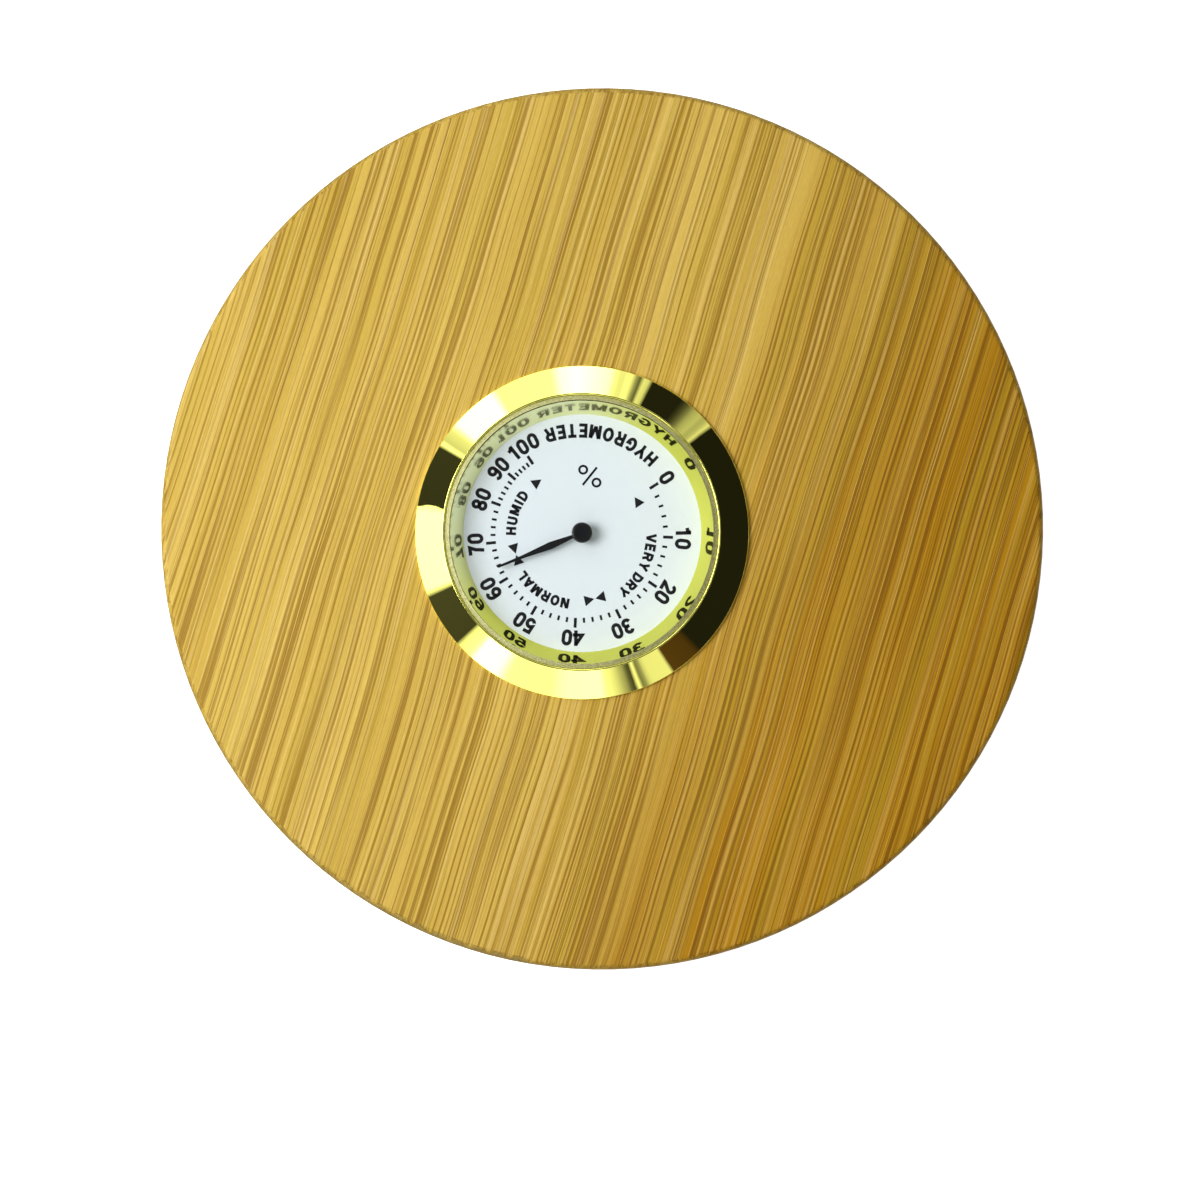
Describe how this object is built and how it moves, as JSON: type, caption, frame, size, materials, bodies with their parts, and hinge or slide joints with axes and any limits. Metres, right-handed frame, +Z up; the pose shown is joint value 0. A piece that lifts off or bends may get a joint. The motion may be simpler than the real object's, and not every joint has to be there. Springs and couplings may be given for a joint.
{
  "type": "dial hygrometer",
  "caption": "Round dial hygrometer with a gold bezel and a black pointer, pressed into the bore of a flat bamboo plate.",
  "frame": {"origin": "middle of the bamboo plate's flat underside", "axes": "+Z up through the plate towards the dial, +Y the way up of the dial (its 40 to 60 percent arc), +X to the dial's right"},
  "size_m": [0.1, 0.1, 0.0144],
  "materials": {
    "bamboo": "satin laminated bamboo with fine straight grain",
    "rubber": "matt black",
    "case_plastic": "moulded black, fine texture",
    "steel": "plain",
    "dial_white": "satin white",
    "brass": "turned",
    "reflector_gold": "bright polished gold plate",
    "gasket": "pale silicone",
    "crystal": "clear polished",
    "bezel_gold": "bright polished gold plate",
    "coil_strip": "thin coated strip",
    "pointer_black": "satin black",
    "hub_black": "gloss black"
  },
  "bodies": {
    "disc": {"bamboo_disc": "bamboo"},
    "grip": {"grip_ring": "rubber"},
    "gauge": {"case_cup": "case_plastic", "back_cover": "case_plastic", "bridge_strap": "steel", "bridge_screws": "steel", "friction_washer": "steel", "dial_plate": "dial_white", "dial_bush": "brass", "reflector_ring": "reflector_gold", "crystal_gasket": "gasket", "crystal": "crystal", "bezel": "bezel_gold"},
    "calibration": {"adjuster": "brass", "adjuster_arm": "steel", "coil_stud": "brass", "sensing_coil": "coil_strip"},
    "movement": {"spindle": "steel", "coil_collet": "brass", "pointer": "pointer_black", "pointer_hub": "hub_black"}
  },
  "joints": [
    {"name": "insert_pull", "type": "slide", "parent": "disc", "child": "grip", "axis": [0, 0, 1], "range_m": [0, 0.0125]},
    {"name": "insert_turn", "type": "hinge", "parent": "grip", "child": "gauge", "pos_m": [0.002, 0.001, 0], "axis": [0, 0, 1], "continuous": true},
    {"name": "calibration_turn", "type": "hinge", "parent": "gauge", "child": "calibration", "pos_m": [0.002, 0.001, 0], "axis": [0, 0, 1], "range_deg": [-25, 25]},
    {"name": "pointer_swing", "type": "hinge", "parent": "calibration", "child": "movement", "pos_m": [0.002, 0.001, 0], "axis": [0, 0, 1], "range_deg": [-78.1, 191.2], "stiffness_Nm_per_rad": 0.00001, "deforming": ["sensing_coil"]}
  ]
}
